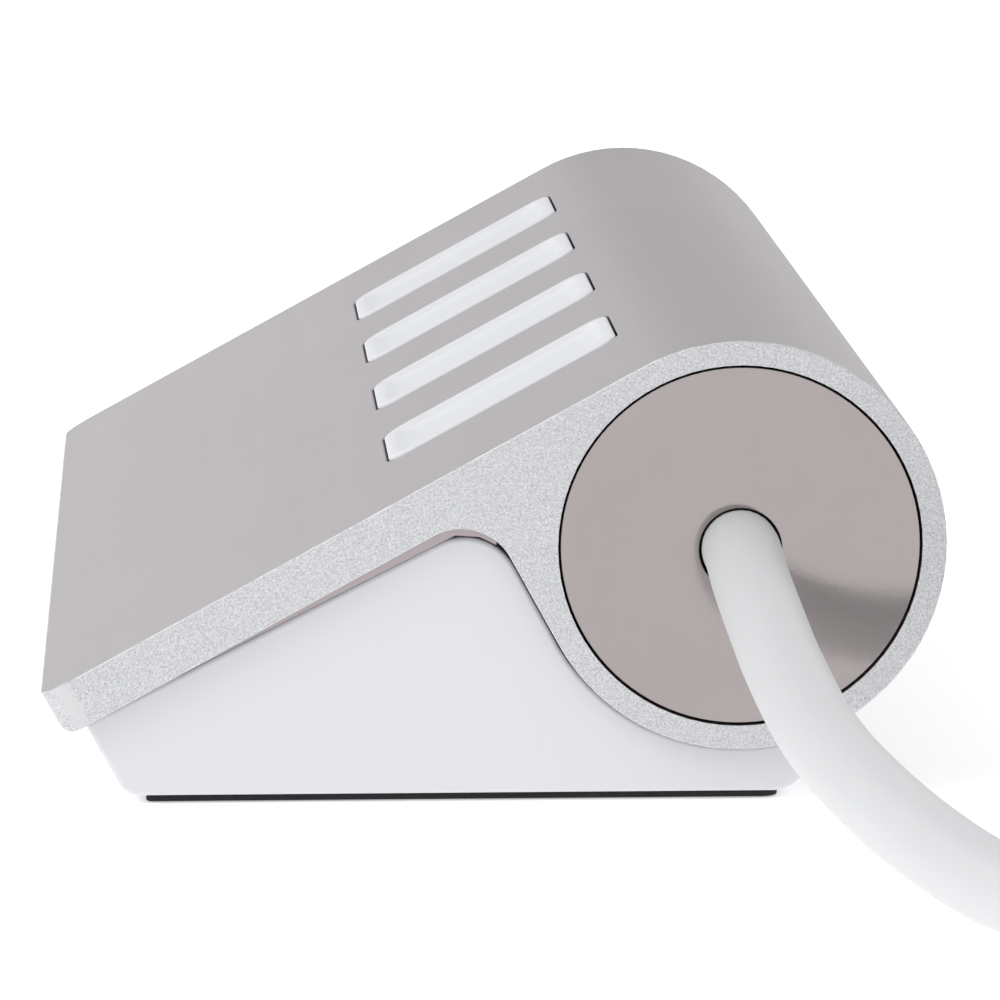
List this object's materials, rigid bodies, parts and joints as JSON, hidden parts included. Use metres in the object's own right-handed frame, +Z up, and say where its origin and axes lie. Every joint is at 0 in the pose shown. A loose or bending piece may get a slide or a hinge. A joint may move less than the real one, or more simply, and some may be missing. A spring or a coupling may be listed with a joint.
{
  "type": "desktop usb hub",
  "caption": "Desktop hub in an aluminium tube with a sloping plate on a white foot, with a switch key and a socket for each port and one captive lead.",
  "frame": {"origin": "centre of the object's own footprint on the table, without the lead", "axes": "+X from the low nose of the plate to the tube, +Y along the tube away from the lead, +Z up from the table"},
  "size_m": [0.1212, 0.144, 0.0272],
  "materials": {
    "aluminium": "bead-blasted and anodised",
    "white_plastic": "fine matte",
    "key_plastic": "satin",
    "black_rubber": "matte",
    "gasket_rubber": "matte",
    "smoked_mirror": "polished, smoked mirror",
    "black_plastic": "moulded",
    "clear_tape": "foam tape",
    "steel": "zinc plated",
    "bright_screw": "nickel plated",
    "wire_insulation": "extruded",
    "connector_white": "moulded",
    "board_laminate": "solder mask",
    "capacitor_can": "satin",
    "ferrite": "sintered",
    "nickel_shell": "nickel plated",
    "blue_insulator": "moulded",
    "gold_contact": "gold plated",
    "lead_jacket": "satin",
    "tie_fabric": "woven hook-and-loop"
  },
  "bodies": {
    "hub": {"housing_extrusion": "aluminium", "base_shell": "white_plastic", "ballast_plate": "steel", "ballast_screws": "bright_screw", "foot_pad": "black_rubber", "bond_tape": "clear_tape", "cable_cap": "smoked_mirror", "end_cap": "smoked_mirror", "cable_cap_gasket": "gasket_rubber", "end_cap_gasket": "gasket_rubber", "cable_cradle": "black_plastic", "end_cradle": "black_plastic", "cradle_screws": "bright_screw", "cable_bush": "gasket_rubber", "lead_wires": "wire_insulation", "header_plug": "connector_white", "board_header": "connector_white", "main_board": "board_laminate", "hub_chip": "black_plastic", "crystal": "bright_screw", "board_capacitors": "capacitor_can", "power_coil": "ferrite", "port_shell_1": "nickel_shell", "port_shell_2": "nickel_shell", "port_shell_3": "nickel_shell", "port_shell_4": "nickel_shell", "port_tongues": "blue_insulator", "port_contacts": "gold_contact", "port_frames": "white_plastic", "key_board": "board_laminate", "switch_bodies": "black_plastic", "key_lights": "connector_white", "board_link": "gold_contact", "cable_lead": "lead_jacket", "cable_coil": "lead_jacket", "cable_tail": "lead_jacket", "coil_tie": "tie_fabric", "plug_body": "lead_jacket", "plug_shell": "nickel_shell", "plug_tongue": "blue_insulator", "plug_contacts": "gold_contact"},
    "key_1": {"port_key_1": "key_plastic", "switch_plunger_1": "connector_white"},
    "key_2": {"port_key_2": "key_plastic", "switch_plunger_2": "connector_white"},
    "key_3": {"port_key_3": "key_plastic", "switch_plunger_3": "connector_white"},
    "key_4": {"port_key_4": "key_plastic", "switch_plunger_4": "connector_white"}
  },
  "joints": [
    {"name": "key_1_press", "type": "slide", "parent": "hub", "child": "key_1", "axis": [0.4818, 0, -0.8763], "range_m": [0, 0.0005], "stiffness_N_per_m": 1500, "springref_m": -0.0003},
    {"name": "key_2_press", "type": "slide", "parent": "hub", "child": "key_2", "axis": [0.4818, 0, -0.8763], "range_m": [0, 0.0005], "stiffness_N_per_m": 1500, "springref_m": -0.0003},
    {"name": "key_3_press", "type": "slide", "parent": "hub", "child": "key_3", "axis": [0.4818, 0, -0.8763], "range_m": [0, 0.0005], "stiffness_N_per_m": 1500, "springref_m": -0.0003},
    {"name": "key_4_press", "type": "slide", "parent": "hub", "child": "key_4", "axis": [0.4818, 0, -0.8763], "range_m": [0, 0.0005], "stiffness_N_per_m": 1500, "springref_m": -0.0003}
  ]
}
